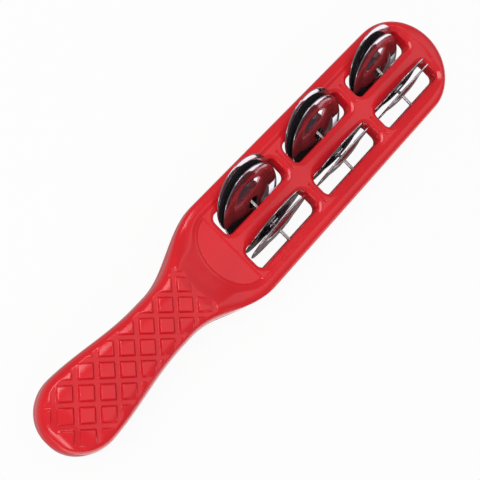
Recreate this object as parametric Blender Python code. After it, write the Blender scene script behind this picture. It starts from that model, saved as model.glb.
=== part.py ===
"""Jingle stick: a two-shell moulded handle and head, three cross pins and twelve loose jingles.

The stick lies on its back. X runs across it, +Y towards the head's end, +Z out of the front face.
The origin is under the middle of the stick, on the surface that the jingles' rims stand on.
"""

from dataclasses import dataclass
from math import cos, pi, radians, sin, sqrt, tan

import bmesh
import bpy
from mathutils import Matrix, Vector

MM = 0.001

# Overall outline, seen from the front
LENGTH = 219.6 * MM
HEAD_WIDTH = 41.0 * MM
WAIST_WIDTH = 20.7 * MM
GRIP_WIDTH = 28.4 * MM
TIP_ROUND = 22.0 * MM
BUTT_ROUND = 15.0 * MM
SHOULDER_FROM_TIP = 126.2 * MM
SHOULDER_LENGTH = 36.0 * MM
GRIP_SWELL_LENGTH = 40.0 * MM
WAIST_FLAT = 5.0 * MM

# Thickness, seen from the side
HEAD_THICKNESS = 8.0 * MM
GRIP_THICKNESS = 16.0 * MM
GRIP_RISE_START = 9.0 * MM
GRIP_RISE_LENGTH = 20.0 * MM
BUTT_EDGE_ROUND = 11.0 * MM
HEAD_SQUARENESS = 8.0
TIP_SQUARENESS = 6.0
GRIP_SQUARENESS = 4.5

# Shells
SHELL_WALL = 2.0 * MM
SEAM_GAP = 0.3 * MM
END_FLAT = 1.6 * MM
END_INSET = 0.1 * MM
CAVITY_END_INSET = 3.5 * MM

# Slots and the pattern they repeat in
SLOT_LENGTH = 35.0 * MM
SLOT_WIDTH = 9.4 * MM
SLOT_CORNER = 2.6 * MM
SLOT_ROWS = 3
CROSS_RIB = 5.25 * MM
CENTRE_RIB = 7.0 * MM
TOP_BORDER = 10.1 * MM
LIP_WIDTH = 1.9 * MM
LIP_DEPTH = 0.65 * MM

# Sunk panel round the slots, and the bare badge field below them
PANEL_BORDER = 3.5 * MM
PANEL_SLOPE = 1.8 * MM
PANEL_DEPTH = 0.6 * MM
PANEL_TIP_BORDER = 5.2 * MM
BADGE_HEIGHT = 12.0 * MM
BADGE_DEPTH = 0.15 * MM
BADGE_INSET = 0.4 * MM
BADGE_FROM_LIP = 0.2 * MM

# Diamond grip
DIAMOND = 10.0 * MM
GROOVE_WIDTH = 2.1 * MM
GROOVE_DEPTH = 0.9 * MM
GROOVE_STEP = 0.03 * MM
GRIP_PATTERN_SHIFT = 1.7 * MM
GRIP_PATTERN_PHASE = 6.4 * MM
GRIP_PATTERN_ROWS = 8

# Locating pegs of the back shell, in sockets of the front shell
PEG_RADIUS = 1.5 * MM
PEG_REACH = 3.0 * MM
BOSS_RADIUS = 3.2 * MM
PEG_CLEARANCE = 0.3 * MM
PEG_PLACES = (0.2, 0.8)

# Pins
PIN_RADIUS = 0.7 * MM
PIN_SEAT_DEPTH = 3.0 * MM
PIN_CLEARANCE = 0.3 * MM

# Jingles
JINGLE_RADIUS = 15.0 * MM
JINGLE_SHEET = 0.45 * MM
DOME_RADIUS = 6.3 * MM
DOME_HEIGHT = 1.15 * MM
DOME_KNEE_OUT = 0.62
DOME_KNEE_UP = 0.72
HOLE_RADIUS = 2.5 * MM
WALL_CLEARANCE = 0.3 * MM
HOLE_CLEARANCE = 0.3 * MM
RIGHT_PAIR_SPACE = 2.85 * MM
LEFT_WALL_ROOM = 3.6 * MM
LEFT_PAIR_SPACE = 3.8 * MM
LEFT_OUTER_LIFT = 0.85 * MM

# How each loose jingle lies: its lean to the left and its shift along the stick, row by row
LEFT_OUTER_LEANS = (radians(39.0), radians(38.0), radians(36.0))
LEFT_INNER_LEANS = (radians(37.7), radians(36.6), radians(34.9))
RIGHT_LEANS = (radians(11.0), radians(8.5), radians(7.0))
LEFT_OUTER_SHIFTS = (0.4 * MM, -0.3 * MM, 0.6 * MM)
LEFT_INNER_SHIFTS = (0.7 * MM, 0.6 * MM, 0.0 * MM)

# Mesh fineness
SECTION_STEPS = 24
CAVITY_STEPS = 12
TIP_STATIONS = 9
BUTT_STATIONS = 8
BODY_STATIONS = 16
CAVITY_STATIONS = 14
CLOSEST_STATIONS = 0.2 * MM
JINGLE_STEPS = 24
PIN_SIDES = 12
CORNER_STEPS = 4
ARC_STEPS = 20
SHARP_FROM = radians(40.0)

# Sizes that follow from the ones above
HALF_LENGTH = LENGTH / 2
SHOULDER_Y = HALF_LENGTH - SHOULDER_FROM_TIP
WAIST_Y = SHOULDER_Y - SHOULDER_LENGTH
SWELL_START_Y = WAIST_Y - WAIST_FLAT
RISE_START_Y = SHOULDER_Y - GRIP_RISE_START
BUTT_CENTRE_Y = BUTT_ROUND - HALF_LENGTH
TIP_CENTRE_Y = HALF_LENGTH - TIP_ROUND
SLOT_PITCH = SLOT_LENGTH + CROSS_RIB
SLOT_X = (CENTRE_RIB + SLOT_WIDTH) / 2
TOP_SLOT_Y = HALF_LENGTH - TOP_BORDER - SLOT_LENGTH / 2
PIN_HEIGHT = JINGLE_RADIUS - (HOLE_RADIUS - PIN_RADIUS - HOLE_CLEARANCE)
PANEL_LEVEL = HEAD_THICKNESS / 2 - PANEL_DEPTH
SLOT_EDGE_HEIGHT = PIN_HEIGHT + PANEL_LEVEL - LIP_DEPTH
LOWEST_SLOT_Y = TOP_SLOT_Y - (SLOT_ROWS - 1) * SLOT_PITCH
BADGE_TOP_Y = LOWEST_SLOT_Y - SLOT_LENGTH / 2 - LIP_WIDTH - BADGE_FROM_LIP
PANEL_HALF = HEAD_WIDTH / 2 - PANEL_BORDER


@dataclass(frozen=True)
class Finish:
    """Colour and surface of a material."""

    name: str
    colour: tuple
    roughness: float
    metallic: float


RED_PLASTIC = Finish("gloss_red_plastic", (0.70, 0.02, 0.03), 0.22, 0.0)
NICKEL = Finish("bright_nickel", (0.80, 0.80, 0.78), 0.12, 1.0)
STEEL = Finish("drawn_steel_wire", (0.62, 0.60, 0.57), 0.25, 1.0)


def clear_scene():
    for old in list(bpy.data.objects):
        bpy.data.objects.remove(old)


def new_collection(name):
    collection = bpy.data.collections.new(name)
    bpy.context.scene.collection.children.link(collection)
    return collection


def material_of(finish):
    material = bpy.data.materials.new(finish.name)
    material.use_nodes = True
    shader = material.node_tree.nodes["Principled BSDF"]
    shader.inputs["Base Color"].default_value = (*finish.colour, 1.0)
    shader.inputs["Roughness"].default_value = finish.roughness
    shader.inputs["Metallic"].default_value = finish.metallic
    return material


def new_object(name, bm, collection, material=None):
    """Turns a bmesh into an object of the collection. A piece with a material is shaded smooth."""
    bmesh.ops.recalc_face_normals(bm, faces=bm.faces)
    mesh = bpy.data.meshes.new(name)
    bm.to_mesh(mesh)
    bm.free()
    obj = bpy.data.objects.new(name, mesh)
    collection.objects.link(obj)
    if material:
        mesh.materials.append(material)
        mesh.shade_smooth()
        mesh.set_sharp_from_angle(angle=SHARP_FROM)
    return obj


def as_cutter(obj):
    obj.hide_render = True
    obj.display_type = "WIRE"
    return obj


def boolean(obj, other, operation="DIFFERENCE"):
    modifier = obj.modifiers.new(operation.title(), "BOOLEAN")
    modifier.operation = operation
    modifier.object = other
    modifier.solver = "EXACT"


def ease(share):
    """Half a cosine wave from 0 to 1."""
    return (1 - cos(pi * min(1.0, max(0.0, share)))) / 2


def mix(low, high, share):
    return low + (high - low) * share


def half_width(y):
    """Half the stick's width at a place along it."""
    if y > TIP_CENTRE_Y:
        return HEAD_WIDTH / 2 * sqrt(max(0.0, 1 - ((y - TIP_CENTRE_Y) / TIP_ROUND) ** 2))
    if y > WAIST_Y:
        return mix(HEAD_WIDTH, WAIST_WIDTH, ease((SHOULDER_Y - y) / SHOULDER_LENGTH)) / 2
    grip = mix(WAIST_WIDTH, GRIP_WIDTH, ease((SWELL_START_Y - y) / GRIP_SWELL_LENGTH)) / 2
    if y > BUTT_CENTRE_Y:
        return grip
    return grip * sqrt(max(0.0, 1 - ((BUTT_CENTRE_Y - y) / BUTT_ROUND) ** 2))


def half_thickness(y):
    """Height of the crown above the seam at a place along the stick, short of the tip's round."""
    rise = ease((RISE_START_Y - y) / GRIP_RISE_LENGTH)
    full = mix(HEAD_THICKNESS, GRIP_THICKNESS, rise) / 2
    butt = max(0.0, BUTT_EDGE_ROUND - HALF_LENGTH - y) / BUTT_EDGE_ROUND
    return full * sqrt(max(0.0, 1 - butt**2))


def squareness(y):
    """Power of the cross-section's curve: a flat head, softer at its tip, and a rounder grip."""
    head = mix(HEAD_SQUARENESS, TIP_SQUARENESS, ease((y - TIP_CENTRE_Y) / TIP_ROUND))
    return mix(head, GRIP_SQUARENESS, ease((RISE_START_Y - y) / GRIP_RISE_LENGTH))


def stations(first, last):
    """Places along the stick for its cross-sections, close together where its ends round off."""
    places = {first, last, TIP_CENTRE_Y, SHOULDER_Y, BUTT_CENTRE_Y}
    for k in range(TIP_STATIONS + 1):
        places.add(mix(TIP_CENTRE_Y, last, sin(pi / 2 * k / TIP_STATIONS)))
    for k in range(BUTT_STATIONS + 1):
        places.add(mix(BUTT_CENTRE_Y, first, sin(pi / 2 * k / BUTT_STATIONS)))
    for k in range(BODY_STATIONS + 1):
        places.add(mix(BUTT_CENTRE_Y, SHOULDER_Y, k / BODY_STATIONS))
    kept = []
    for place in sorted(places):
        if not kept or place - kept[-1] > CLOSEST_STATIONS:
            kept.append(place)
    return kept


def section(bm, y, width, height, power, floor, steps, past=0.0):
    """A ring of vertices: half a rounded oblong, cut off below at the level called floor.

    A ring that lies past the tip's centre, by a share of the tip's round, is lower by as much as
    keeps the edge equally round all the way about the tip.
    """
    ring = []
    for k in range(steps + 1):
        across = cos(pi * k / steps)
        share = abs(across) ** (2 / power)
        reach = sqrt(past**2 + share**2 * (1 - past**2))
        x = width * share * (1 if across > 0 else -1)
        z = max(floor, height * max(0.0, 1 - reach**power) ** (1 / power))
        ring.append(bm.verts.new((x, y, z)))
    return ring


def loft(rings, bm):
    """Joins rings of equal counts into one closed skin."""
    for low, high in zip(rings, rings[1:]):
        count = len(low)
        for k in range(count):
            bm.faces.new((low[k], low[(k + 1) % count], high[(k + 1) % count], high[k]))
    bm.faces.new(rings[0])
    bm.faces.new(rings[-1])


def half_body(name, collection, material):
    """The solid front half of the stick, standing on the seam, before it is hollowed and cut."""
    bm = bmesh.new()
    rings = []
    for y in stations(END_INSET - HALF_LENGTH, HALF_LENGTH - END_INSET):
        width = max(half_width(y), END_FLAT)
        height = max(half_thickness(y), END_FLAT)
        past = max(0.0, y - TIP_CENTRE_Y) / TIP_ROUND
        rings.append(section(bm, y, width, height, squareness(y), SEAM_GAP / 2, SECTION_STEPS, past))
    loft(rings, bm)
    return new_object(name, bm, collection, material)


def cavity(name, collection):
    """The hollow of the grip, one wall inside the half body and open at the seam."""
    bm = bmesh.new()
    low = SHELL_WALL + CAVITY_END_INSET - HALF_LENGTH
    high = BADGE_TOP_Y - BADGE_HEIGHT - SHELL_WALL
    rings = []
    for k in range(CAVITY_STATIONS + 1):
        y = mix(low, high, k / CAVITY_STATIONS)
        width = half_width(y) - SHELL_WALL
        height = half_thickness(y) - SHELL_WALL - GROOVE_DEPTH
        rings.append(section(bm, y, width, height, squareness(y), -SHELL_WALL, CAVITY_STEPS))
    loft(rings, bm)
    return as_cutter(new_object(name, bm, collection))


def rounded_box(bm, centre, size, corner, z):
    """A ring of vertices: a rectangle with round corners, at height z."""
    half_x, half_y = size[0] / 2 - corner, size[1] / 2 - corner
    ring = []
    for quarter, (sx, sy) in enumerate(((1, 1), (-1, 1), (-1, -1), (1, -1))):
        for k in range(CORNER_STEPS + 1):
            turn = pi / 2 * (quarter + k / CORNER_STEPS)
            x = centre[0] + sx * half_x + corner * cos(turn)
            y = centre[1] + sy * half_y + corner * sin(turn)
            ring.append(bm.verts.new((x, y, z)))
    return ring


def slot_cutter(name, centre, collection):
    """A slot through the head, flared at the panel into a sloping lip."""
    bm = bmesh.new()
    size = Vector((SLOT_WIDTH, SLOT_LENGTH))
    flare = 2 * LIP_WIDTH / LIP_DEPTH
    rings = []
    for z in (-SHELL_WALL, PANEL_LEVEL - LIP_DEPTH, PANEL_LEVEL + LIP_DEPTH):
        grow = max(0.0, z - PANEL_LEVEL + LIP_DEPTH) * flare
        grown = size + Vector((grow, grow))
        rings.append(rounded_box(bm, centre, grown, SLOT_CORNER + grow / 2, z))
    loft(rings, bm)
    return as_cutter(new_object(name, bm, collection))


def panel_ring(bm, inset, z):
    """The outline of the sunk panel: straight sides, an oval top and the oval below the badge."""
    half = PANEL_HALF - inset
    top = TIP_ROUND - PANEL_TIP_BORDER - inset
    bottom = BADGE_HEIGHT + PANEL_SLOPE - inset
    ring = []
    for k in range(ARC_STEPS + 1):
        turn = pi * k / ARC_STEPS
        ring.append(bm.verts.new((half * cos(turn), TIP_CENTRE_Y + top * sin(turn), z)))
    for k in range(ARC_STEPS + 1):
        turn = pi + pi * k / ARC_STEPS
        ring.append(bm.verts.new((half * cos(turn), BADGE_TOP_Y + bottom * sin(turn), z)))
    return ring


def panel_cutter(name, collection):
    bm = bmesh.new()
    slope = PANEL_SLOPE / PANEL_DEPTH
    rings = [
        panel_ring(bm, PANEL_SLOPE, PANEL_LEVEL),
        panel_ring(bm, -PANEL_DEPTH * slope, PANEL_LEVEL + 2 * PANEL_DEPTH),
    ]
    loft(rings, bm)
    return as_cutter(new_object(name, bm, collection))


def badge_cutter(name, collection):
    """The flat D-shaped field under the slots, where a badge would go. It is bare."""
    bm = bmesh.new()
    half = PANEL_HALF - PANEL_SLOPE - BADGE_INSET
    height = BADGE_HEIGHT - BADGE_INSET
    rings = []
    for z in (PANEL_LEVEL - BADGE_DEPTH, PANEL_LEVEL + BADGE_DEPTH):
        ring = []
        for k in range(ARC_STEPS + 1):
            turn = pi + pi * k / ARC_STEPS
            ring.append(bm.verts.new((half * cos(turn), BADGE_TOP_Y + height * sin(turn), z)))
        rings.append(ring)
    loft(rings, bm)
    return as_cutter(new_object(name, bm, collection))


def groove_cutter(name, direction, collection):
    """Parallel bars at 45 degrees that sink flat-floored grooves into the crown of the grip."""
    low, high = -HALF_LENGTH, SHOULDER_Y
    spacing = DIAMOND / sqrt(2)
    middle = Vector((GRIP_PATTERN_SHIFT, (low + high) / 2 + GRIP_PATTERN_PHASE, 0))
    turned = Matrix.Translation(middle) @ Matrix.Rotation(direction * pi / 4, 4, "Z")
    height = GRIP_THICKNESS / 2 + GROOVE_DEPTH + direction * GROOVE_STEP / 2
    bar = Matrix.Diagonal((GROOVE_WIDTH, 2 * GRIP_WIDTH, 4 * GROOVE_DEPTH, 1))
    bm = bmesh.new()
    for k in range(-GRIP_PATTERN_ROWS, GRIP_PATTERN_ROWS):
        offset = spacing * (k + 0.5)
        crossing = middle.y + direction * offset * sqrt(2)
        if low < crossing < high:
            along = Matrix.Translation((offset, direction * offset, height))
            bmesh.ops.create_cube(bm, size=1, matrix=turned @ along @ bar)
    return as_cutter(new_object(name, bm, collection))


def pin_seat(name, y, collection):
    """The channel that a cross pin lies in, half in each shell."""
    bm = bmesh.new()
    turned = Matrix.Rotation(pi / 2, 4, "Y")
    length = 2 * (SLOT_X + SLOT_WIDTH / 2 + PIN_SEAT_DEPTH + PIN_CLEARANCE)
    radius = PIN_RADIUS + PIN_CLEARANCE
    bmesh.ops.create_cone(
        bm,
        cap_ends=True,
        segments=PIN_SIDES,
        radius1=radius,
        radius2=radius,
        depth=length,
        matrix=Matrix.Translation((0, y, 0)) @ turned,
    )
    return as_cutter(new_object(name, bm, collection))


def cylinder(name, centre, radius, depth, collection):
    bm = bmesh.new()
    bmesh.ops.create_cone(
        bm,
        cap_ends=True,
        segments=2 * PIN_SIDES,
        radius1=radius,
        radius2=radius,
        depth=depth,
        matrix=Matrix.Translation(centre),
    )
    return as_cutter(new_object(name, bm, collection))


def slot_centres():
    """Row by row from the grip's end: the left slot, then the right one."""
    for row in reversed(range(SLOT_ROWS)):
        y = TOP_SLOT_Y - row * SLOT_PITCH
        yield SLOT_ROWS - row, (-SLOT_X, y), (SLOT_X, y)


def peg_centres():
    low = BUTT_CENTRE_Y
    high = BADGE_TOP_Y - BADGE_HEIGHT - SHELL_WALL
    return [mix(low, high, share) for share in PEG_PLACES]


def shell(name, finish, part, cutters, is_front):
    """One half of the stick, modelled as a front half and turned over for the back."""
    obj = half_body(name, part, finish)
    boolean(obj, cavity(f"{name}_cavity", cutters))
    boolean(obj, panel_cutter(f"{name}_panel", cutters))
    boolean(obj, badge_cutter(f"{name}_badge", cutters))
    for row, left, right in slot_centres():
        for side, centre in (("left", left), ("right", right)):
            boolean(obj, slot_cutter(f"{name}_slot_{side}_{row}", centre, cutters))
        boolean(obj, pin_seat(f"{name}_pin_seat_{row}", left[1], cutters))
    for count, y in enumerate(peg_centres(), 1):
        add_boss(obj, f"{name}_{count}", y, cutters, is_front)
    for side, direction in (("left", 1), ("right", -1)):
        boolean(obj, groove_cutter(f"{name}_grooves_{side}", direction, cutters))
    for piece in [obj] + [other for other in cutters.objects if other.name.startswith(name)]:
        if not is_front:
            piece.data.transform(Matrix.Rotation(pi, 4, "Y"))
        piece.location.z = PIN_HEIGHT
    return obj


def add_boss(obj, name, y, cutters, is_front):
    """A round boss in the hollow: with a socket in the front shell, and a peg on the back shell."""
    top = GRIP_THICKNESS / 2 - SHELL_WALL
    depth = top - SEAM_GAP / 2
    boss = cylinder(f"{name}_boss", (0, y, SEAM_GAP / 2 + depth / 2), BOSS_RADIUS, depth, cutters)
    boolean(obj, boss, "UNION")
    if is_front:
        radius = PEG_RADIUS + PEG_CLEARANCE
        reach = PEG_REACH + PEG_CLEARANCE
        boolean(obj, cylinder(f"{name}_socket", (0, y, 0), radius, 2 * reach, cutters))
    else:
        centre = (0, y, (SEAM_GAP + SHELL_WALL - PEG_REACH) / 2)
        peg = cylinder(f"{name}_peg", centre, PEG_RADIUS, PEG_REACH + SHELL_WALL, cutters)
        boolean(obj, peg, "UNION")


def pin(name, y, finish, part):
    """A straight wire pin across both slots of a row and the centre rib."""
    length = 2 * (SLOT_X + SLOT_WIDTH / 2 + PIN_SEAT_DEPTH)
    bm = bmesh.new()
    bmesh.ops.create_cone(
        bm,
        cap_ends=True,
        segments=PIN_SIDES,
        radius1=PIN_RADIUS,
        radius2=PIN_RADIUS,
        depth=length,
        matrix=Matrix.Rotation(pi / 2, 4, "Y"),
    )
    obj = new_object(name, bm, part, finish)
    obj.location = (0, y, PIN_HEIGHT)
    return obj


def jingle_profile():
    """Points round the sheet's section, from the hole's upper edge down the outer side and back."""
    half = JINGLE_SHEET / 2
    outer = [(HOLE_RADIUS, DOME_HEIGHT), (DOME_KNEE_OUT * DOME_RADIUS, DOME_KNEE_UP * DOME_HEIGHT)]
    outer += [(DOME_RADIUS, 0.0), (JINGLE_RADIUS, 0.0)]
    upper = [(r, z - DOME_HEIGHT + half) for r, z in outer]
    lower = [(r, z - DOME_HEIGHT - half) for r, z in reversed(outer)]
    return upper + lower


def jingle(name, finish, part, hub, lean):
    """A disc domed to the right, leaning to the left. Its origin is the middle of its hole."""
    bm = bmesh.new()
    verts = [bm.verts.new((r, 0, z)) for r, z in jingle_profile()]
    edges = [bm.edges.new((vert, verts[(k + 1) % len(verts)])) for k, vert in enumerate(verts)]
    bmesh.ops.spin(
        bm,
        geom=verts + edges,
        cent=(0, 0, 0),
        axis=(0, 0, 1),
        angle=2 * pi,
        steps=JINGLE_STEPS,
        use_merge=True,
    )
    obj = new_object(name, bm, part, finish)
    obj.rotation_euler = (0, pi / 2 - lean, 0)
    obj.location = hub
    return obj


def resting_height(lean):
    """Height of the middle of the hole of a leaning jingle whose rim rests on the surface."""
    return JINGLE_RADIUS * cos(lean) + (DOME_HEIGHT + JINGLE_SHEET / 2) * sin(lean)


def left_outer_hub(centre, shift):
    """Middle of the hole of the outer left jingle, which hangs on the pin against the outer wall."""
    wall = centre[0] - SLOT_WIDTH / 2
    return Vector((wall + LEFT_WALL_ROOM, centre[1] + shift, PIN_HEIGHT + LEFT_OUTER_LIFT))


def left_inner_hub(centre, lean, shift):
    """Middle of the hole of the inner left jingle, which stands on the surface."""
    wall = centre[0] - SLOT_WIDTH / 2
    across = wall + LEFT_WALL_ROOM + LEFT_PAIR_SPACE
    return Vector((across, centre[1] + shift, resting_height(lean)))


def right_hub(centre, lean, count):
    """Middle of a right jingle's hole. The first stands against the upper edge of the centre rib."""
    wall = centre[0] - SLOT_WIDTH / 2
    height = resting_height(lean)
    back = (DOME_HEIGHT + JINGLE_SHEET / 2) / cos(lean)
    first = wall + WALL_CLEARANCE + back + (SLOT_EDGE_HEIGHT - height) * tan(lean)
    return Vector((first + count * RIGHT_PAIR_SPACE, centre[1], height))


def jingles(row, left, right, finish, part):
    """The four jingles of a row, two in each slot."""
    lean = LEFT_OUTER_LEANS[row - 1]
    hub = left_outer_hub(left, LEFT_OUTER_SHIFTS[row - 1])
    jingle(f"left_jingle_{row}_outer", finish, part, hub, lean)
    lean = LEFT_INNER_LEANS[row - 1]
    hub = left_inner_hub(left, lean, LEFT_INNER_SHIFTS[row - 1])
    jingle(f"left_jingle_{row}_inner", finish, part, hub, lean)
    lean = RIGHT_LEANS[row - 1]
    for count, place in enumerate(("inner", "outer")):
        jingle(f"right_jingle_{row}_{place}", finish, part, right_hub(right, lean, count), lean)


def main():
    clear_scene()
    part = new_collection("jingle_stick")
    cutters = new_collection("cutters")
    red = material_of(RED_PLASTIC)
    nickel = material_of(NICKEL)
    steel = material_of(STEEL)
    shell("front_shell", red, part, cutters, True)
    shell("back_shell", red, part, cutters, False)
    for row, left, right in slot_centres():
        pin(f"cross_pin_{row}", left[1], steel, part)
        jingles(row, left, right, nickel, part)


main()
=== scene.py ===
"""Jingle stick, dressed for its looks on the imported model.

A red moulded body in two halves, three cross pins of wire and twelve jingles pressed from plated
sheet. Sizes in the classes are in millimetres, and the finished meshes are in metres.
"""

import sys
import logging
from dataclasses import dataclass, field
from enum import Enum
from math import cos, pi, radians, sin
from typing import Any, Sequence

import bmesh
import bpy
import numpy as np
from mathutils import Matrix, Vector


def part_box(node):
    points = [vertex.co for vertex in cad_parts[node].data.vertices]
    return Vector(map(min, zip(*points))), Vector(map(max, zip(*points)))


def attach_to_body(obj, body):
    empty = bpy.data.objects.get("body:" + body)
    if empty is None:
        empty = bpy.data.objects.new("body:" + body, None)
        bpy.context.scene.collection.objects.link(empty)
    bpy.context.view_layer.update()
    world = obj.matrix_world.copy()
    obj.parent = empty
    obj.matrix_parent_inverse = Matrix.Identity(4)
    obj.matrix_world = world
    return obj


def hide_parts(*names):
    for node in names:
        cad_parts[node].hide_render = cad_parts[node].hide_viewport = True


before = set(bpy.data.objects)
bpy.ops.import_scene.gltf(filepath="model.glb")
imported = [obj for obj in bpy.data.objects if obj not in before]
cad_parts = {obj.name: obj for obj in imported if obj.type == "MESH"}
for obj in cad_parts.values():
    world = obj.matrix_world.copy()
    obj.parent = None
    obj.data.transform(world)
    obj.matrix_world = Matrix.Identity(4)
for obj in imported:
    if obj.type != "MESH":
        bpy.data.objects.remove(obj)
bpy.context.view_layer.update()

LOG = logging.getLogger("jingle_stick")
MM = 0.001
Colour = tuple[float, float, float]


class Body(Enum):
    """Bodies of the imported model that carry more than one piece."""

    STICK = "stick"


class Slot(Enum):
    """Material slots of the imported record."""

    PLASTIC = "red_plastic"
    SHEET = "plated_sheet"
    WIRE = "steel_wire"


# Arithmetic on places


def ease(share: np.ndarray) -> np.ndarray:
    """Half a cosine wave from 0 to 1."""
    return (1 - np.cos(pi * np.clip(share, 0.0, 1.0))) / 2


def mix(low: Any, high: Any, share: Any) -> Any:
    """The value that lies a share of the way from low to high."""
    return low + (high - low) * share


def soft_step(low: float, high: float, value: np.ndarray) -> np.ndarray:
    """0 up to low, 1 from high on, and a smooth curve between them."""
    share = np.clip((value - low) / (high - low), 0.0, 1.0)
    return share * share * (3 - 2 * share)


def soft_min(first: np.ndarray, second: np.ndarray, reach: float) -> np.ndarray:
    """The lower of two surfaces, with the corner between them rounded over a reach."""
    near = np.maximum(reach - np.abs(first - second), 0.0)
    return np.minimum(first, second) - near * near / (4 * reach)


def soft_max(first: np.ndarray, second: np.ndarray, reach: float) -> np.ndarray:
    """The higher of two surfaces, with the corner between them filled over a reach."""
    return -soft_min(-first, -second, reach)


def round_oblong(x: np.ndarray, y: np.ndarray, half: tuple[float, float], corner: float) -> np.ndarray:
    """Distance from a rectangle with round corners, below zero inside it."""
    over_x = np.abs(x) - half[0] + corner
    over_y = np.abs(y) - half[1] + corner
    outside = np.hypot(np.maximum(over_x, 0.0), np.maximum(over_y, 0.0))
    return outside + np.minimum(np.maximum(over_x, over_y), 0.0) - corner


def inside_oval(x: np.ndarray, y: np.ndarray, half: tuple[float, float]) -> np.ndarray:
    """About how far a place lies inside an oval round the origin."""
    ratio = np.maximum(np.hypot(x / half[0], y / half[1]), 1e-6)
    steepness = np.hypot(x / half[0] ** 2, y / half[1] ** 2) / ratio
    return (1 - ratio) / np.maximum(steepness, 1e-6)


def graded(stops: Sequence[tuple[float, float]]) -> np.ndarray:
    """Places from the first stop to the last.

    Args:
        stops: Each stop's place, and the step between places from there to the next stop.

    Returns:
        The places in order, with every stop among them.
    """
    places: list[float] = []
    for (low, step), (high, _) in zip(stops, stops[1:]):
        count = max(1, round((high - low) / step))
        places += [mix(low, high, k / count) for k in range(count)]
    return np.array(places + [stops[-1][0]])


# Meshes


def object_from(name: str, mesh: bpy.types.Mesh, material: bpy.types.Material) -> bpy.types.Object:
    """Puts a mesh into the scene as an object with one material."""
    obj = bpy.data.objects.new(name, mesh)
    bpy.context.scene.collection.objects.link(obj)
    mesh.materials.clear()
    mesh.materials.append(material)
    return obj


def mesh_from(name: str, bm: bmesh.types.BMesh, sharp_from: float = 60.0) -> bpy.types.Mesh:
    """Turns a bmesh into a mesh, shaded smooth but for edges sharper than an angle in degrees."""
    bmesh.ops.recalc_face_normals(bm, faces=bm.faces)
    mesh = bpy.data.meshes.new(name)
    bm.to_mesh(mesh)
    bm.free()
    mesh.shade_smooth()
    mesh.set_sharp_from_angle(angle=radians(sharp_from))
    return mesh


def places_of(mesh: bpy.types.Mesh) -> np.ndarray:
    """The vertices' places as an array of rows."""
    flat = np.empty(len(mesh.vertices) * 3, np.float32)
    mesh.vertices.foreach_get("co", flat)
    return flat.reshape(-1, 3).astype(float)


def write_attribute(mesh: bpy.types.Mesh, name: str, values: np.ndarray) -> None:
    """Keeps a number for each vertex, for a material to read."""
    layer = mesh.attributes.new(name, "FLOAT", "POINT")
    layer.data.foreach_set("value", values.astype(np.float32))


# Shader nodes


class Value:
    """A number in a shader, so that sums are written as Python expressions."""

    def __init__(self, sheet: "NodeSheet", socket: bpy.types.NodeSocket) -> None:
        """Wraps a socket of a node tree."""
        self.sheet = sheet
        self.socket = socket

    def _maths(self, operation: str, first: Any, second: Any = None) -> "Value":
        """Adds a Math node for one operation."""
        sockets = {0: first} if second is None else {0: first, 1: second}
        node = self.sheet.node("ShaderNodeMath", {"operation": operation}, sockets)
        return Value(self.sheet, node.outputs[0])

    def __add__(self, other: Any) -> "Value":
        """Sum."""
        return self._maths("ADD", self, other)

    def __radd__(self, other: Any) -> "Value":
        """Sum with a plain number first."""
        return self._maths("ADD", other, self)

    def __sub__(self, other: Any) -> "Value":
        """Difference."""
        return self._maths("SUBTRACT", self, other)

    def __rsub__(self, other: Any) -> "Value":
        """Difference from a plain number."""
        return self._maths("SUBTRACT", other, self)

    def __mul__(self, other: Any) -> "Value":
        """Product."""
        return self._maths("MULTIPLY", self, other)

    def __rmul__(self, other: Any) -> "Value":
        """Product with a plain number first."""
        return self._maths("MULTIPLY", other, self)

    def __pow__(self, other: Any) -> "Value":
        """Power."""
        return self._maths("POWER", self, other)

    def at_most(self, other: Any) -> "Value":
        """The lower of this and another number."""
        return self._maths("MINIMUM", self, other)

    def at_least(self, other: Any) -> "Value":
        """The higher of this and another number."""
        return self._maths("MAXIMUM", self, other)

    def between(self, low: float, high: float) -> "Value":
        """0 at low, 1 at high, and a smooth curve between them."""
        sockets = {"Value": self, "From Min": low, "From Max": high}
        settings = {"interpolation_type": "SMOOTHSTEP"}
        return Value(self.sheet, self.sheet.node("ShaderNodeMapRange", settings, sockets).outputs[0])


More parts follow.
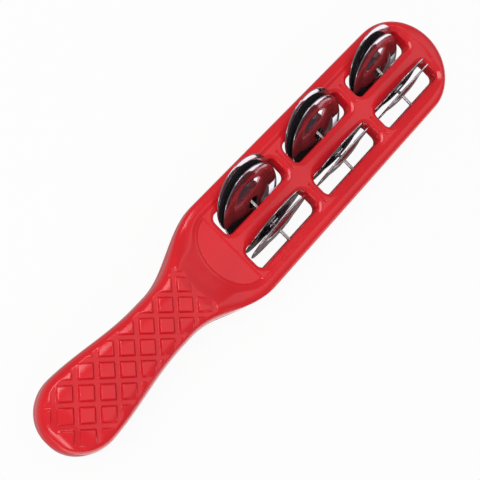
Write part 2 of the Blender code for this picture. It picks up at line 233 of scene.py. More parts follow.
class NodeSheet:
    """The node tree of one material or of the world."""

    def __init__(self, tree: bpy.types.NodeTree) -> None:
        """Starts from an empty tree."""
        self.tree = tree
        tree.nodes.clear()

    def node(self, kind: str, settings: dict[str, Any] | None = None, sockets: dict[Any, Any] | None = None) -> Any:
        """Adds a node.

        Args:
            kind: The node's type.
            settings: Its properties, set before its sockets. A ramp's stops are "stops".
            sockets: Numbers, colours or links by the socket's name or place.

        Returns:
            The new node.
        """
        node = self.tree.nodes.new(kind)
        for name, value in (settings or {}).items():
            if name == "stops":
                self._set_stops(node.color_ramp, value)
            else:
                setattr(node, name, value)
        for key, value in (sockets or {}).items():
            socket = node.inputs[key]
            source = value.socket if isinstance(value, Value) else value
            if isinstance(source, bpy.types.NodeSocket):
                self.tree.links.new(source, socket)
            elif isinstance(source, tuple) and len(source) == 3 and socket.type == "RGBA":
                socket.default_value = (*source, 1.0)
            else:
                socket.default_value = source
        return node

    @staticmethod
    def _set_stops(ramp: bpy.types.ColorRamp, stops: Sequence[tuple[float, Colour]]) -> None:
        """Writes a ramp's stops, each a place and a colour."""
        while len(ramp.elements) < len(stops):
            ramp.elements.new(1.0)
        for element, (place, colour) in zip(ramp.elements, stops):
            element.position = place
            element.color = (*colour, 1.0)

    def coordinates(self) -> bpy.types.NodeSocket:
        """The object's own coordinates."""
        return self.node("ShaderNodeTexCoord").outputs["Object"]

    def stretched(self, scale: tuple[float, float, float]) -> bpy.types.NodeSocket:
        """The object's coordinates, scaled along each axis."""
        return self.node("ShaderNodeMapping", {}, {"Vector": self.coordinates(), "Scale": scale}).outputs[0]

    def attribute(self, name: str) -> Value:
        """A number that the mesh keeps for each vertex."""
        return Value(self, self.node("ShaderNodeAttribute", {"attribute_name": name}).outputs["Fac"])

    def noise(self, scale: float, detail: float = 2.0, vector: Any = None) -> Value:
        """Cloudy noise of a scale per metre."""
        sockets = {"Vector": vector or self.coordinates(), "Scale": scale, "Detail": detail}
        return Value(self, self.node("ShaderNodeTexNoise", {}, sockets).outputs[0])

    def rings(self, along: Value, scale: float, detail: float = 3.0) -> Value:
        """Noise that changes with one number only."""
        sockets = {"W": along, "Scale": scale, "Detail": detail}
        return Value(self, self.node("ShaderNodeTexNoise", {"noise_dimensions": "1D"}, sockets).outputs[0])

    def blend(self, first: Any, second: Any, share: Any) -> bpy.types.NodeSocket:
        """A colour between two colours."""
        sockets = {0: share, 6: first, 7: second}
        settings = {"data_type": "RGBA"}
        made = self.node("ShaderNodeMix", settings)
        for key, value in sockets.items():
            source = value.socket if isinstance(value, Value) else value
            if isinstance(source, bpy.types.NodeSocket):
                self.tree.links.new(source, made.inputs[key])
            elif key == 0:
                made.inputs[key].default_value = source
            else:
                made.inputs[key].default_value = (*source, 1.0)
        return made.outputs[2]

    def relief(self, height: Value, depth: float, strength: float = 1.0) -> bpy.types.NodeSocket:
        """A bump from a height between 0 and 1, of a depth in metres."""
        sockets = {"Height": height, "Distance": depth, "Strength": strength}
        return self.node("ShaderNodeBump", {}, sockets).outputs[0]

    def surface(self, **sockets: Any) -> None:
        """Ends the tree in a Principled shader with these sockets."""
        names = {name.replace("_", " "): value for name, value in sockets.items()}
        shader = self.node("ShaderNodeBsdfPrincipled", {}, names)
        self.node("ShaderNodeOutputMaterial", {}, {"Surface": shader.outputs[0]})


# Finishes


@dataclass(frozen=True)
class MouldedPlastic:
    """Glossy dyed plastic, as it leaves a polished mould."""

    name: str = "gloss_red_plastic"
    colour: Colour = (0.62, 0.009, 0.016)
    # Deeper red, used both for a random tone and for painted shade in the grip's grooves.
    deep_tone_and_groove_shade: Colour = (0.50, 0.006, 0.014)
    worn_colour: Colour = (0.66, 0.020, 0.028)
    gloss: float = 0.16
    dull: float = 0.26

    def material(self) -> bpy.types.Material:
        """Makes the plastic's material."""
        made = bpy.data.materials.new(self.name)
        made.use_nodes = True
        sheet = NodeSheet(made.node_tree)
        sunk = sheet.attribute("sunk")
        edge = sheet.attribute("edge")
        clouds = sheet.noise(45.0, 3.0)
        flow = sheet.noise(160.0, 2.0, sheet.stretched((1.0, 0.25, 1.0)))
        # Cloud noise gives a random deeper tone; the sunk mask paints shade into the grip's grooves, darker than the
        # plastic's own colour.
        base = sheet.blend(self.colour, self.deep_tone_and_groove_shade, (clouds.between(0.35, 0.75) * 0.5 + sunk * 0.35).at_most(1.0))
        base = sheet.blend(base, self.worn_colour, edge * flow.between(0.45, 0.75) * 0.5)
        rough = self.gloss + (self.dull - self.gloss) * (flow.between(0.3, 0.8) * 0.6 + sunk * 0.4)
        skin = sheet.noise(2600.0, 1.0) * 0.12 + sheet.noise(240.0, 1.0) * 0.88
        sheet.surface(
            Base_Color=base,
            Roughness=rough,
            IOR=1.5,
            Subsurface_Weight=0.0,
            Normal=sheet.relief(skin, 0.00006),
        )
        return made


@dataclass(frozen=True)
class SpunSheet:
    """Thin pressed steel sheet, bright plated, with faint rings from its polishing."""

    name: str = "bright_plated_sheet"
    colour: Colour = (0.43, 0.39, 0.43)
    stain: Colour = (0.31, 0.28, 0.29)
    gloss: float = 0.05
    dull: float = 0.14

    def material(self) -> bpy.types.Material:
        """Makes the plated sheet's material."""
        made = bpy.data.materials.new(self.name)
        made.use_nodes = True
        sheet = NodeSheet(made.node_tree)
        radius = sheet.attribute("radius")
        polish = sheet.rings(radius, 5200.0)
        haze = sheet.noise(260.0, 3.0)
        base = sheet.blend(self.colour, self.stain, haze.between(0.55, 0.85) * 0.45)
        rough = self.gloss + (self.dull - self.gloss) * (polish.between(0.35, 0.7) * 0.5 + haze.between(0.4, 0.8) * 0.5)
        waves = polish * 0.06 + sheet.rings(radius, 420.0, 1.0) * 0.54 + haze * 0.40
        sheet.surface(
            Base_Color=base,
            Metallic=0.96,
            Roughness=rough,
            Normal=sheet.relief(waves, 0.00004),
        )
        return made


@dataclass(frozen=True)
class DrawnWire:
    """Bright steel wire, with fine lines along it from the drawing."""

    name: str = "drawn_steel_wire"
    colour: Colour = (0.66, 0.63, 0.60)
    dark: Colour = (0.42, 0.38, 0.34)
    gloss: float = 0.18
    dull: float = 0.36

    def material(self) -> bpy.types.Material:
        """Makes the wire's material."""
        made = bpy.data.materials.new(self.name)
        made.use_nodes = True
        sheet = NodeSheet(made.node_tree)
        lines = sheet.noise(1.0, 3.0, sheet.stretched((60.0, 5200.0, 5200.0)))
        tarnish = sheet.noise(700.0, 2.0)
        base = sheet.blend(self.colour, self.dark, lines.between(0.4, 0.75) * 0.5 + tarnish.between(0.55, 0.8) * 0.4)
        rough = self.gloss + (self.dull - self.gloss) * lines
        sheet.surface(
            Base_Color=base,
            Metallic=1.0,
            Roughness=rough,
            Normal=sheet.relief(lines, 0.00003),
        )
        return made


# The moulded body


@dataclass(frozen=True)
class Outline:
    """The stick's outline seen from the front, and its thickness seen from the side."""

    half_length: float = 109.65
    head_width: float = 41.0
    waist_width: float = 20.7
    grip_width: float = 28.4
    tip_centre: float = 87.8
    butt_centre: float = -94.8
    shoulder: float = -16.4
    shoulder_length: float = 36.0
    waist: float = -52.4
    swell_start: float = -57.4
    swell_length: float = 40.0
    head_half: float = 4.0
    grip_half: float = 8.0
    rise_start: float = -25.4
    rise_length: float = 20.0
    butt_round: float = 11.0
    head_squareness: float = 8.0
    tip_squareness: float = 6.0
    grip_squareness: float = 4.5

    def half_width(self, y: np.ndarray) -> np.ndarray:
        """Half the stick's width at places along it."""
        neck = mix(self.head_width, self.waist_width, ease((self.shoulder - y) / self.shoulder_length))
        grip = mix(self.waist_width, self.grip_width, ease((self.swell_start - y) / self.swell_length))
        width = np.where(y > self.waist, neck, grip) / 2
        butt = np.maximum(self.butt_centre - y, 0.0) / (self.half_length + self.butt_centre)
        return width * np.sqrt(np.maximum(1 - np.maximum(self.past_tip(y), butt) ** 2, 0.0))

    def past_tip(self, y: np.ndarray) -> np.ndarray:
        """How far a place lies into the tip's round: 0 at its centre and 1 at the end."""
        return np.maximum(y - self.tip_centre, 0.0) / (self.half_length - self.tip_centre)

    def crown(self, y: np.ndarray) -> np.ndarray:
        """Height of the crown above the seam at places along the stick, short of the tip's round."""
        full = mix(self.head_half, self.grip_half, self.rise(y))
        butt = np.maximum(self.butt_round - self.half_length - y, 0.0) / self.butt_round
        return full * np.sqrt(np.maximum(1 - butt**2, 0.0))

    def level(self, y: np.ndarray, share: np.ndarray) -> np.ndarray:
        """Height as a share of the crown's, at shares of the way from the middle line to the side."""
        past, power = self.past_tip(y), self.squareness(y)
        reach = np.sqrt(past**2 + share**2 * (1 - past**2))
        return np.maximum(1 - reach**power, 0.0) ** (1 / power)

    def rise(self, y: np.ndarray) -> np.ndarray:
        """0 along the head and 1 along the grip."""
        return ease((self.rise_start - y) / self.rise_length)

    def squareness(self, y: np.ndarray) -> np.ndarray:
        """Power of the cross-section's curve: the head is nearly an oblong, the grip is rounder."""
        head = mix(self.head_squareness, self.tip_squareness, ease(self.past_tip(y)))
        return mix(head, self.grip_squareness, self.rise(y))


@dataclass(frozen=True)
class SlotPlan:
    """The six slots of the head, their sloping lips and the creases between the rows."""

    half: tuple[float, float] = (4.7, 17.5)
    corner: float = 2.6
    across: float = 8.2
    rows: tuple[float, float, float] = (1.7, 41.95, 82.2)
    lip: float = 1.9
    lip_corner: float = 5.8
    lip_depth: float = 0.65
    edge_round: float = 0.45
    crease_places: tuple[float, float] = (21.825, 62.075)
    crease_half_width: float = 0.60
    crease_depth: float = 0.58
    crease_ends: tuple[float, float] = (4.6, 12.4)

    def local(self, x: np.ndarray, y: np.ndarray) -> tuple[np.ndarray, np.ndarray]:
        """Places as seen from the middle of the nearest slot."""
        nearest = np.argmin([np.abs(y - row) for row in self.rows], axis=0)
        return np.abs(x) - self.across, y - np.array(self.rows)[nearest]

    def lower(self, x: np.ndarray, y: np.ndarray, z: np.ndarray, level: float) -> np.ndarray:
        """Sinks the lips and creases into a surface.

        Args:
            x: Places across the stick.
            y: Places along it.
            z: Height of the surface there.
            level: Height of the panel that the lips slope down from.

        Returns:
            The new heights.
        """
        near_x, near_y = self.local(x, y)
        off = round_oblong(near_x, near_y, self.half, self.corner)
        outer_half = (self.half[0] + self.lip, self.half[1] + self.lip)
        room = -round_oblong(near_x, near_y, outer_half, self.lip_corner)
        from_edge = np.maximum(off, 0.0)
        share = from_edge / np.maximum(from_edge + np.maximum(room, 0.0), 1e-6)
        lip = level - self.lip_depth * (1 - share)
        lip = np.where(room > 0, lip, level - room * self.lip_depth / self.lip)
        lowered = soft_min(z, lip, 0.10)
        left = np.clip(self.edge_round - from_edge, 0.0, self.edge_round)
        lowered -= self.edge_round - np.sqrt(self.edge_round**2 - left**2)
        for place in self.crease_places:
            across = 1 - soft_step(0.25 * self.crease_half_width, self.crease_half_width, np.abs(y - place))
            ends = soft_step(self.crease_ends[0] - 0.8, self.crease_ends[0], np.abs(x))
            ends *= 1 - soft_step(self.crease_ends[1], self.crease_ends[1] + 0.8, np.abs(x))
            lowered -= self.crease_depth * across * ends
        return lowered


@dataclass(frozen=True)
class Panel:
    """The sunk panel round the slots, and the bare D-shaped field below them."""

    half_width: float = 17.0
    level: float = 3.4
    depth: float = 0.6
    slope: float = 1.8
    tip_reach: float = 16.8
    foot_reach: float = 13.8
    top: float = 87.8
    field_top: float = -17.9
    field_half: tuple[float, float] = (14.8, 11.6)
    field_depth: float = 0.38
    field_edge: float = 0.40

    def lower(self, x: np.ndarray, y: np.ndarray, z: np.ndarray) -> np.ndarray:
        """Sinks the panel and the field into a surface."""
        inside = self.half_width - np.abs(x)
        upper = inside_oval(x, y - self.top, (self.half_width, self.tip_reach))
        lower = inside_oval(x, y - self.field_top, (self.half_width, self.foot_reach))
        inside = np.where(y > self.top, upper, np.where(y < self.field_top, lower, inside))
        slope = self.level + self.depth * (1 - inside / self.slope)
        sunk = soft_min(z, soft_max(slope, np.full_like(z, self.level), 0.08), 0.12)
        in_field = inside_oval(x, y - self.field_top, self.field_half)
        in_field = np.minimum(in_field, self.field_top - y)
        return sunk - self.field_depth * soft_step(0.0, self.field_edge, in_field)


@dataclass(frozen=True)
class DiamondGrip:
    """Crossed grooves that leave rows of flat diamonds on the grip."""

    diagonal: float = 9.83
    centre: tuple[float, float] = (1.75, -76.25)
    turn: float = radians(1.5)
    floor: float = 7.1
    end_depth: float = 0.75
    reach: tuple[float, float] = (-106.5, -35.0)
    fade: float = 7.0
    floor_half: float = 0.78
    edge_half: float = 1.22

    def lower(self, x: np.ndarray, y: np.ndarray, z: np.ndarray, crown: np.ndarray) -> np.ndarray:
        """Sinks the grooves into a surface.

        Args:
            x: Places across the stick.
            y: Places along it.
            z: Height of the surface there.
            crown: Height of its middle line. Towards both ends the grooves' level floor follows it down.

        Returns:
            The new heights.
        """
        ends = soft_step(self.reach[0], self.reach[0] + self.fade / 3, y)
        ends = ends * (1 - soft_step(self.reach[1] - self.fade, self.reach[1], y))
        floor = np.minimum(self.floor, crown - self.end_depth * ends)
        from_x, from_y = x - self.centre[0], y - self.centre[1]
        spacing = self.diagonal / 2**0.5
        cut = np.zeros_like(z)
        for turn in (pi / 4, 3 * pi / 4):
            along = from_x * cos(turn + self.turn) + from_y * sin(turn + self.turn)
            off = np.abs(np.mod(along / spacing, 1.0) - 0.5) * spacing
            cut = np.maximum(cut, 1 - soft_step(self.floor_half, self.edge_half, off))
        return z - np.maximum(z - floor, 0.0) * cut


@dataclass
class MouldedBody:
    """The two glued halves of the body: head with slots, neck and grip."""

    finish: bpy.types.Material
    mid_height: float = 13.5
    outline: Outline = field(default_factory=Outline)
    slots: SlotPlan = field(default_factory=SlotPlan)
    panel: Panel = field(default_factory=Panel)
    grip: DiamondGrip = field(default_factory=DiamondGrip)
    seam: float = 0.04
    seam_chamfer: float = 0.10
    shoulder_share: float = 0.93
    side_steps: int = 10
    pin_channel: float = 0.78
    across_stops: tuple[tuple[float, float], ...] = (
        (0.0, 0.6), (1.2, 0.35), (3.3, 0.21), (6.0, 1.4), (10.4, 0.24), (13.1, 0.4), (14.9, 0.3),
        (17.4, 0.55), (19.065, 1.0),
    )

    def columns(self) -> np.ndarray:
        """Places across the head, for the fine mesh of its crown."""
        half = graded(self.across_stops)
        return np.concatenate([-half[:0:-1], half])

    def rows(self) -> np.ndarray:
        """Places along the stick, close together wherever the surface turns."""
        end = self.outline.half_length
        stops: list[tuple[float, float]] = [(-105.0, 0.2), (-34.5, 0.4), (-18.6, 0.25), (-12.8, 0.9)]
        for row, following in zip(self.slots.rows, self.slots.rows[1:]):
            stops += [(row + 14.6, 0.24), (following - 14.6, 0.9)]
        stops += [(self.slots.rows[-1] + 14.6, 0.25), (101.6, 0.3), (105.0, 1.0)]
        middle = graded(stops)
        turns = 1 - np.cos(np.linspace(0.0, pi / 2, 17)[:-1])
        return np.concatenate([mix(-end, middle[0], turns), middle, mix(end, middle[-1], turns)[::-1]])

    def surface(self) -> tuple[np.ndarray, np.ndarray, np.ndarray]:
        """Works out where every vertex of the front half's skin lies.

        Returns:
            Grids of x, y and height above the seam.
        """
        y = self.rows()[:, None]
        width, crown, power = self.outline.half_width(y), self.outline.crown(y), self.outline.squareness(y)
        head = self.columns()[None, :] / (self.outline.head_width / 2)
        even = np.linspace(head[0, 0], head[0, -1], head.shape[1])[None, :]
        share = mix(head, even, ease((-20.0 - y) / 14.0))
        falling = (1 - np.abs(share[:, -1:]) ** power) ** (1 / power)
        falling = falling * (1 - np.arange(1, self.side_steps + 1) / self.side_steps)[None, :]
        out = (1 - falling**power) ** (1 / power)
        share = np.concatenate([-out[:, ::-1], share, out], axis=1)
        x = width * share
        z = crown * self.outline.level(y, share)
        z = self.panel.lower(x, y + 0 * x, z)
        z = self.slots.lower(x, y + 0 * x, z, self.panel.level)
        z = self.grip.lower(x, y + 0 * x, z, crown)
        z = np.maximum(z, self.seam + self.seam_chamfer)
        foot = np.maximum(width - self.seam_chamfer, 0.6 * width)
        x = np.concatenate([-foot, x, foot], axis=1)
        z = np.concatenate([0 * foot + self.seam, z, 0 * foot + self.seam], axis=1)
        z[0], z[-1] = self.seam, self.seam
        return x, y + 0 * x, z

    def skin(self, name: str) -> bpy.types.Object:
        """The front half before its slots are cut: a fine grid moved into shape and closed at the seam."""
        x, y, z = self.surface()
        bm = bmesh.new()
        bmesh.ops.create_grid(bm, x_segments=x.shape[1] - 1, y_segments=x.shape[0] - 1, size=1.0)
        for vert, place in zip(bm.verts, np.stack([x.ravel(), y.ravel(), z.ravel()], axis=1) * MM):
            vert.co = place
        bmesh.ops.remove_doubles(bm, verts=bm.verts, dist=1e-8)
        rim = [edge for edge in bm.edges if edge.is_boundary]
        bmesh.ops.holes_fill(bm, edges=rim, sides=0)
        return object_from(name, mesh_from(name, bm), self.finish)

    def slot_cutter(self) -> bpy.types.Object:
        """Six round-cornered blocks, one for each slot."""
        bm = bmesh.new()
        for row in self.slots.rows:
            for side in (-1, 1):
                size = Matrix.Diagonal((2 * self.slots.half[0] * MM, 2 * self.slots.half[1] * MM, 0.03, 1.0))
                place = Matrix.Translation((side * self.slots.across * MM, row * MM, 0.0))
                bmesh.ops.create_cube(bm, size=1.0, matrix=place @ size)
        upright = [edge for edge in bm.edges if abs(edge.verts[0].co.z - edge.verts[1].co.z) > MM]
        bmesh.ops.bevel(
            bm, geom=upright, offset=self.slots.corner * MM, affect="EDGES", segments=10, profile=0.5, material=-1
        )
        return object_from("slot_cutter", mesh_from("slot_cutter", bm), self.finish)

    def channel_cutter(self) -> bpy.types.Object:
        """Three rods that cut the channels for the cross pins."""
        bm = bmesh.new()
        for row in self.slots.rows:
            place = Matrix.Translation((0.0, row * MM, 0.0)) @ Matrix.Rotation(pi / 2, 4, "Y")
            radius = self.pin_channel * MM
            bmesh.ops.create_cone(
                bm, cap_ends=True, segments=20, radius1=radius, radius2=radius, depth=0.0322, matrix=place
            )
        return object_from("channel_cutter", mesh_from("channel_cutter", bm), self.finish)

    @staticmethod
    def cut(obj: bpy.types.Object, cutters: Sequence[bpy.types.Object]) -> bpy.types.Mesh:
        """Takes the cutters away from an object and removes them and it.

        Args:
            obj: The object to cut.
            cutters: Closed objects, one Boolean each.

        Returns:
            The cut mesh.
        """
        for cutter in cutters:
            modifier = obj.modifiers.new(cutter.name, "BOOLEAN")
            modifier.operation = "DIFFERENCE"
            modifier.solver = "EXACT"
            modifier.object = cutter
        bpy.context.view_layer.update()
        graph = bpy.context.evaluated_depsgraph_get()
        mesh = bpy.data.meshes.new_from_object(obj.evaluated_get(graph))
        for used in (obj, *cutters):
            bpy.data.objects.remove(used)
        return mesh

    def dress(self, mesh: bpy.types.Mesh) -> None:
        """Keeps how far each vertex is sunk, for painted shade in the grip's grooves, and how near it is to a rounded
        edge, for the material.
        """
        x, y, z = (places_of(mesh) / MM).T
        share = np.clip(np.abs(x) / np.maximum(self.outline.half_width(y), 0.01), 0.0, 1.0)
        smooth = self.outline.crown(y) * self.outline.level(y, share)
        # Groove depth, which the material turns into painted shade.
        groove = soft_step(0.1, 0.8, smooth - z) * soft_step(4.5, 6.0, z)
        near_x, near_y = self.slots.local(x, y)
        off = round_oblong(near_x, near_y, self.slots.half, self.slots.corner)
        write_attribute(mesh, "sunk", groove)
        write_attribute(mesh, "edge", (1 - soft_step(0.1, 0.9, off)) * (z > 1.0))
        mesh.shade_smooth()
        mesh.set_sharp_from_angle(angle=radians(55.0))

    def build(self) -> None:
        """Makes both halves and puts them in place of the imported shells."""
        mesh = self.cut(self.skin("front_half"), [self.slot_cutter(), self.channel_cutter()])
        self.dress(mesh)
        for name, node, turn in (("front_half", "front_shell", 0.0), ("back_half", "back_shell", pi)):
            half = mesh.copy()
            half.name = name
            half.transform(Matrix.Translation((0, 0, self.mid_height * MM)) @ Matrix.Rotation(turn, 4, "Y"))
            obj = object_from(name, half, self.finish)
            attach(obj, Body.STICK.value, node)
        bpy.data.meshes.remove(mesh)


# Pins and jingles


@dataclass
class CrossPins:
    """Straight wire pins with rounded ends, one across each row of slots."""

    finish: bpy.types.Material
    rows: tuple[float, float, float]
    radius: float = 0.62
    half_length: float = 15.9
    end_round: float = 0.25
    height: float = 13.5
    steps: int = 32

    def build(self) -> None:
        """Makes the three pins."""
        inset = self.end_round * (1 - 0.5**0.5)
        half = [
            (0.0, self.half_length),
            (self.radius - self.end_round, self.half_length),
            (self.radius - inset, self.half_length - inset),
            (self.radius, self.half_length - self.end_round),
        ]
        half += [(self.radius, mix(self.half_length - self.end_round, 0.0, k / 12)) for k in range(1, 13)]
        outline = half + [(r, -along) for r, along in reversed(half[:-1])]
        for count, row in enumerate(self.rows, 1):
            bm = bmesh.new()
            verts = [bm.verts.new(Vector((r, 0.0, along)) * MM) for r, along in outline]
            edges = [bm.edges.new(pair) for pair in zip(verts, verts[1:])]
            turn_round(bm, verts + edges, self.steps)
            place = Matrix.Translation(Vector((0.0, row, self.height)) * MM) @ Matrix.Rotation(pi / 2, 4, "Y")
            bmesh.ops.transform(bm, matrix=place, verts=bm.verts)
            name = f"pin_{count}"
            obj = object_from(name, mesh_from(name, bm), self.finish)
            attach(obj, Body.STICK.value, f"cross_pin_{count}")


def turn_round(bm: bmesh.types.BMesh, geom: list[Any], steps: int) -> None:
    """Spins a profile a full turn about Z and closes it on the axis."""
    bmesh.ops.spin(
        bm, geom=geom, cent=(0, 0, 0), axis=(0, 0, 1), angle=2 * pi, steps=steps, use_merge=True
    )
    bmesh.ops.remove_doubles(bm, verts=bm.verts, dist=1e-7)


@dataclass(frozen=True)
class Hang:
    """How one jingle hangs: its name and its lean to the left of upright, in degrees."""

    name: str
    lean: float

    @property
    def tilt(self) -> float:
        """Turn about the stick's length that brings a level jingle to its lean."""
        return pi / 2 - radians(self.lean)

    def hub(self, jingle: "Jingle") -> Vector:
        """The middle of the jingle's hole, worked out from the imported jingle's box.

        Args:
            jingle: Sizes of the jingle.

        Returns:
            The place in metres.
        """
        low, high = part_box(self.name)
        lean = radians(self.lean)
        x = low[0] / MM + jingle.radius * sin(lean) + jingle.sheet / 2 * cos(lean)
        z = high[2] / MM - jingle.radius * cos(lean) - jingle.sheet / 2 * sin(lean)
        dome = Vector((cos(lean), 0.0, sin(lean))) * jingle.dome_height
        return (Vector((x, (low[1] + high[1]) / 2 / MM, z)) + dome) * MM


@dataclass
class Jingle:
    """A round cymbal pressed from sheet: a dome with a hole, a flat, and a rim turned slightly down."""

    finish: bpy.types.Material
    radius: float = 15.0
    sheet: float = 0.45
    hole: float = 2.5
    dome: float = 9.8
    dome_height: float = 1.15
    dome_power: float = 2.4
    rim: float = 13.2
    rim_drop: float = 0.20
    edge_round: float = 0.14
    steps: int = 144

    def mid_height(self, r: np.ndarray) -> np.ndarray:
        """Height of the sheet's middle at distances from the axis. The dome's hole is at 0."""
        rise = (r / self.dome) ** self.dome_power
        curve = soft_max(-self.dome_height * rise, np.full_like(r, -self.dome_height), 0.12)
        band = np.clip((r - self.rim) / (self.radius - self.rim), 0.0, 1.0)
        return curve - self.rim_drop * band**1.3

    def profile(self) -> list[tuple[float, float]]:
        """Points round the sheet's section, down its outer side and back below."""
        r = graded(((self.hole, 0.25), (self.dome + 0.8, 0.3), (self.radius, 1.0)))
        middle = self.mid_height(r)
        slope = np.gradient(middle, r)
        length = np.hypot(1.0, slope)
        half = np.full_like(r, self.sheet / 2)
        step = self.edge_round
        half[0] = half[-1] = self.sheet / 2 - step
        upper = np.stack([r - slope / length * half, middle + half / length], axis=1)
        lower = np.stack([r + slope / length * half, middle - half / length], axis=1)
        for side in (upper, lower):
            side[0, 0], side[-1, 0] = self.hole, self.radius
            side[1, 0] = max(side[1, 0], self.hole + step)
        extra = [[self.radius - step, middle[-1]], [self.hole + step, middle[0]]]
        top_out = [extra[0][0], mix(upper[-2, 1], upper[-1, 1] + step, 0.9)]
        low_out = [extra[0][0], mix(lower[-2, 1], lower[-1, 1] - step, 0.9)]
        loop = [*upper[:-1], top_out, upper[-1], lower[-1], low_out, *lower[-2::-1]]
        return [(float(a), float(b)) for a, b in loop]

    def build(self, hang: Hang) -> None:
        """Makes one jingle and hangs it on its pin."""
        bm = bmesh.new()
        verts = [bm.verts.new(Vector((r, 0.0, z)) * MM) for r, z in self.profile()]
        edges = [bm.edges.new((vert, verts[(k + 1) % len(verts)])) for k, vert in enumerate(verts)]
        turn_round(bm, verts + edges, self.steps)
        mesh = mesh_from(f"{hang.name}_disc", bm, 70.0)
        places = places_of(mesh)
        write_attribute(mesh, "radius", np.hypot(places[:, 0], places[:, 1]))
        mesh.transform(Matrix.Translation(hang.hub(self)) @ Matrix.Rotation(hang.tilt, 4, "Y"))
        attach(object_from(mesh.name, mesh, self.finish), hang.name, hang.name)


@dataclass
class JinglePairs:
    """The twelve jingles: pairs that lean over in the left slots and almost stand in the right ones."""

    jingle: Jingle
    left_outer: tuple[float, float, float] = (39.0, 38.0, 36.0)
    left_inner: tuple[float, float, float] = (37.7, 36.6, 34.9)
    right: tuple[float, float, float] = (11.0, 8.5, 7.0)

    def build(self) -> None:
        """Makes all twelve, row by row from the grip."""
        for count, (outer, inner, right) in enumerate(zip(self.left_outer, self.left_inner, self.right), 1):
            self.jingle.build(Hang(f"left_jingle_{count}_outer", outer))
            self.jingle.build(Hang(f"left_jingle_{count}_inner", inner))
            self.jingle.build(Hang(f"right_jingle_{count}_inner", right))
            self.jingle.build(Hang(f"right_jingle_{count}_outer", right))


def attach(obj: bpy.types.Object, body: str, node: str) -> None:
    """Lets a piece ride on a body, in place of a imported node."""
    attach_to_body(obj, body)
    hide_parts(node)
    LOG.info("%s rides on %s: %d faces", obj.name, body, len(obj.data.polygons))


# The studio


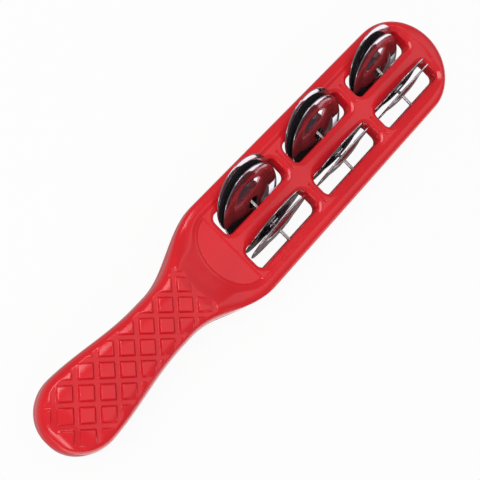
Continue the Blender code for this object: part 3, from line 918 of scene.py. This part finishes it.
@dataclass
class Studio:
    """A plain white sweep, soft light and the camera."""

    target: Vector = field(default_factory=lambda: Vector((-0.1, -13.6, 16.2)) * MM)
    toward: Vector = field(default_factory=lambda: Vector((-0.0769, -0.4211, 0.9037)))
    distance: float = 353.85
    lens: float = 75.41
    sensor: float = 36.0
    roll: tuple[float, float] = (0.68380857, 0.72966145)

    def camera(self) -> None:
        """Puts the camera at the photograph's viewing angle."""
        data = bpy.data.cameras.new("camera")
        data.lens = self.lens
        data.sensor_width = self.sensor
        data.clip_start = 0.01
        obj = bpy.data.objects.new("camera", data)
        bpy.context.scene.collection.objects.link(obj)
        back = self.toward.normalized()
        along = (Vector((0, 1, 0)) - back * back.y).normalized()
        across = along.cross(back)
        right = along * self.roll[0] + across * self.roll[1]
        up = along * self.roll[1] - across * self.roll[0]
        turned = Matrix((right, up, back)).transposed().to_4x4()
        obj.matrix_world = Matrix.Translation(self.target + back * self.distance * MM) @ turned
        bpy.context.scene.camera = obj

    def floor(self) -> None:
        """A wide white floor that shows pure white to the camera and keeps a soft shadow. Seen in reflections it is a
        darker paper, which is painted shade, and to the stick's right it glows in reflections only, which is a painted
        reflection.
        """
        bm = bmesh.new()
        bmesh.ops.create_grid(bm, x_segments=8, y_segments=8, size=3.0)
        mesh = mesh_from("floor", bm)
        material = bpy.data.materials.new("white_sweep")
        material.use_nodes = True
        sheet = NodeSheet(material.node_tree)
        path = sheet.node("ShaderNodeLightPath")
        camera = Value(sheet, path.outputs["Is Camera Ray"])
        gloss = Value(sheet, path.outputs["Is Glossy Ray"])
        parts = sheet.node("ShaderNodeSeparateXYZ", {}, {0: sheet.coordinates()})
        # Glossy rays only: a strip of floor to the stick's right that glows, a painted reflection.
        glossy_floor_glow_mask = gloss * Value(sheet, parts.outputs["X"]).between(0.018, 0.023)
        seen = camera
        # Darker paper for glossy rays only: painted shade in what the metal reflects.
        tone = sheet.blend((0.62, 0.62, 0.62), (0.40, 0.40, 0.40), gloss)
        paper = sheet.node("ShaderNodeBsdfDiffuse", {}, {"Color": tone})
        glow = sheet.node("ShaderNodeEmission", {}, {"Color": (1.0, 1.0, 1.0), "Strength": 1.0})
        near = sheet.node("ShaderNodeMixShader", {}, {0: seen * 0.94, 1: paper.outputs[0], 2: glow.outputs[0]})
        # Glow seen only in reflections: a painted reflection, not a lamp.
        sweep = sheet.node("ShaderNodeEmission", {}, {"Color": (1.0, 1.0, 1.0), "Strength": 2.2})
        both = sheet.node("ShaderNodeMixShader", {}, {0: glossy_floor_glow_mask, 1: near.outputs[0], 2: sweep.outputs[0]})
        sheet.node("ShaderNodeOutputMaterial", {}, {"Surface": both.outputs[0]})
        object_from("floor", mesh, material)

    def world(self) -> None:
        """White to the camera, and a studio with a dark ceiling to glossy surfaces."""
        world = bpy.data.worlds.new("studio")
        bpy.context.scene.world = world
        world.use_nodes = True
        sheet = NodeSheet(world.node_tree)
        direction = sheet.node("ShaderNodeTexCoord").outputs["Generated"]
        parts = sheet.node("ShaderNodeSeparateXYZ", {}, {0: direction})
        across = Value(sheet, parts.outputs["X"])
        ahead = Value(sheet, parts.outputs["Y"])
        up = Value(sheet, parts.outputs["Z"])
        wall = ahead.between(0.50, 0.62) * (1.0 - up.between(0.10, 0.22))
        side = across.between(0.68, 0.78) * ahead.between(0.34, 0.42) * (1.0 - up.between(0.40, 0.50))
        beam = across.between(-0.06, 0.06) * (1.0 - across.between(0.26, 0.40))
        panel = beam * ahead.between(0.02, 0.16) * up.between(0.46, 0.58)
        strip = across.between(-0.62, -0.56) * (1.0 - across.between(-0.27, -0.20)) * up.between(0.50, 0.60)
        window = strip * ahead.between(-0.26, -0.18) * (1.0 - ahead.between(0.28, 0.36))
        low = across.between(0.0, 0.06) * (1.0 - across.between(0.30, 0.38)) * up.between(0.26, 0.34)
        low = low * (0.0 - ahead).between(0.82, 0.88)
        glossy = 0.26 + 0.79 * wall.at_least(panel) + 2.0 * side + 5.5 * window.at_least(low)
        path = sheet.node("ShaderNodeLightPath")
        camera = Value(sheet, path.outputs["Is Camera Ray"])
        gloss = Value(sheet, path.outputs["Is Glossy Ray"])
        front = (0.0 - ahead).between(0.0, 0.8)
        soft = 0.30 + 0.60 * up.between(0.25, 0.95) + 0.35 * front
        strength = camera + (1.0 - camera) * (gloss * glossy + (1.0 - gloss) * soft)
        back = sheet.node("ShaderNodeBackground", {}, {"Color": (1.0, 1.0, 1.0), "Strength": strength})
        sheet.node("ShaderNodeOutputWorld", {}, {"Surface": back.outputs[0]})

    def lamp(self, name: str, place: tuple[float, float, float], size: tuple[float, float], power: float) -> None:
        """A soft rectangular lamp that faces the stick. The studio's own panels stand for it in the gloss."""
        data = bpy.data.lights.new(name, "AREA")
        data.shape = "RECTANGLE"
        data.size, data.size_y = size
        data.energy = power
        obj = bpy.data.objects.new(name, data)
        bpy.context.scene.collection.objects.link(obj)
        obj.location = place
        obj.visible_glossy = False
        obj.rotation_euler = (self.target - Vector(place)).to_track_quat("-Z", "Y").to_euler()

    def build(self) -> None:
        """Sets up everything round the stick."""
        self.camera()
        self.floor()
        self.world()
        self.lamp("key_softbox", (-0.28, -0.37, 0.73), (0.30, 0.30), 3.6)
        bpy.context.scene.view_settings.view_transform = "Standard"


def main() -> None:
    """Builds the stick piece by piece, then the studio."""
    logging.basicConfig(level=logging.INFO, format="%(name)s: %(message)s", stream=sys.stdout)
    plastic = MouldedPlastic().material()
    body = MouldedBody(plastic)
    body.build()
    CrossPins(DrawnWire().material(), body.slots.rows).build()
    JinglePairs(Jingle(SpunSheet().material())).build()
    Studio().build()


if __name__ == "__main__":
    main()
